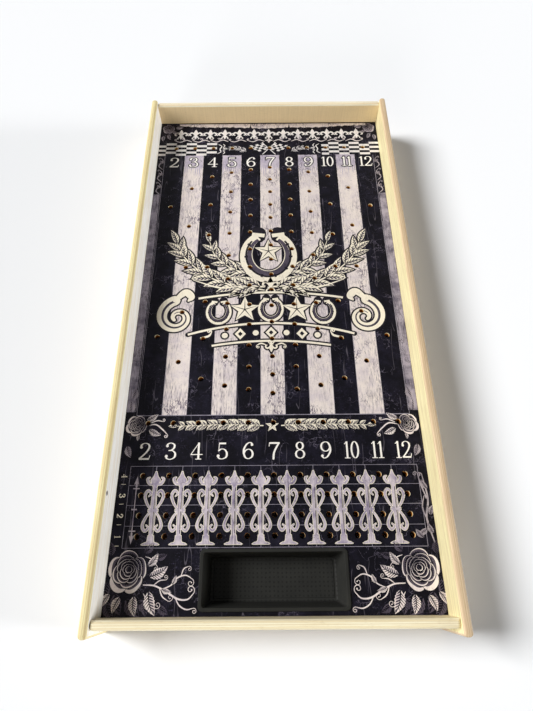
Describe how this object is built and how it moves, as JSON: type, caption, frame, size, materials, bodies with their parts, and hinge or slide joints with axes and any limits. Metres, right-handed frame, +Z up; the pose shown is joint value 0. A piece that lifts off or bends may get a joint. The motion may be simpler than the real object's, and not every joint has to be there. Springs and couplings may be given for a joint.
{
  "type": "tabletop horse race board",
  "caption": "Shallow plywood frame round a dark printed playing panel with numbered lanes of peg holes, and a black drop-in dice tray at the start end.",
  "frame": {"origin": "middle of the footprint, on the surface that the board stands on", "axes": "+X to the right, +Y from the start end with the dice tray to the finish end, +Z up"},
  "size_m": [0.6096, 1.2192, 0.1143],
  "materials": {
    "rail_wood": "clear satin birch plywood, with its plies showing on the edges",
    "cleat_wood": "unfinished softwood",
    "printed_panel": "plywood printed in navy black, lavender grey and cream on its upper face",
    "tray_plastic": "satin black, lightly textured floor",
    "nail_steel": "bright steel"
  },
  "bodies": {
    "board": {"side_rail_left": "rail_wood", "side_rail_right": "rail_wood", "start_rail": "rail_wood", "finish_rail": "rail_wood", "side_cleat_left": "cleat_wood", "side_cleat_right": "cleat_wood", "start_cleat_left": "cleat_wood", "start_cleat_right": "cleat_wood", "finish_cleat": "cleat_wood", "game_panel": "printed_panel", "corner_nails": "nail_steel", "cleat_nails": "nail_steel"},
    "tray": {"dice_tray": "tray_plastic"}
  },
  "joints": [
    {"name": "tray_lift", "type": "slide", "parent": "board", "child": "tray", "axis": [0, 0, 1], "range_m": [0, 0.12]}
  ]
}
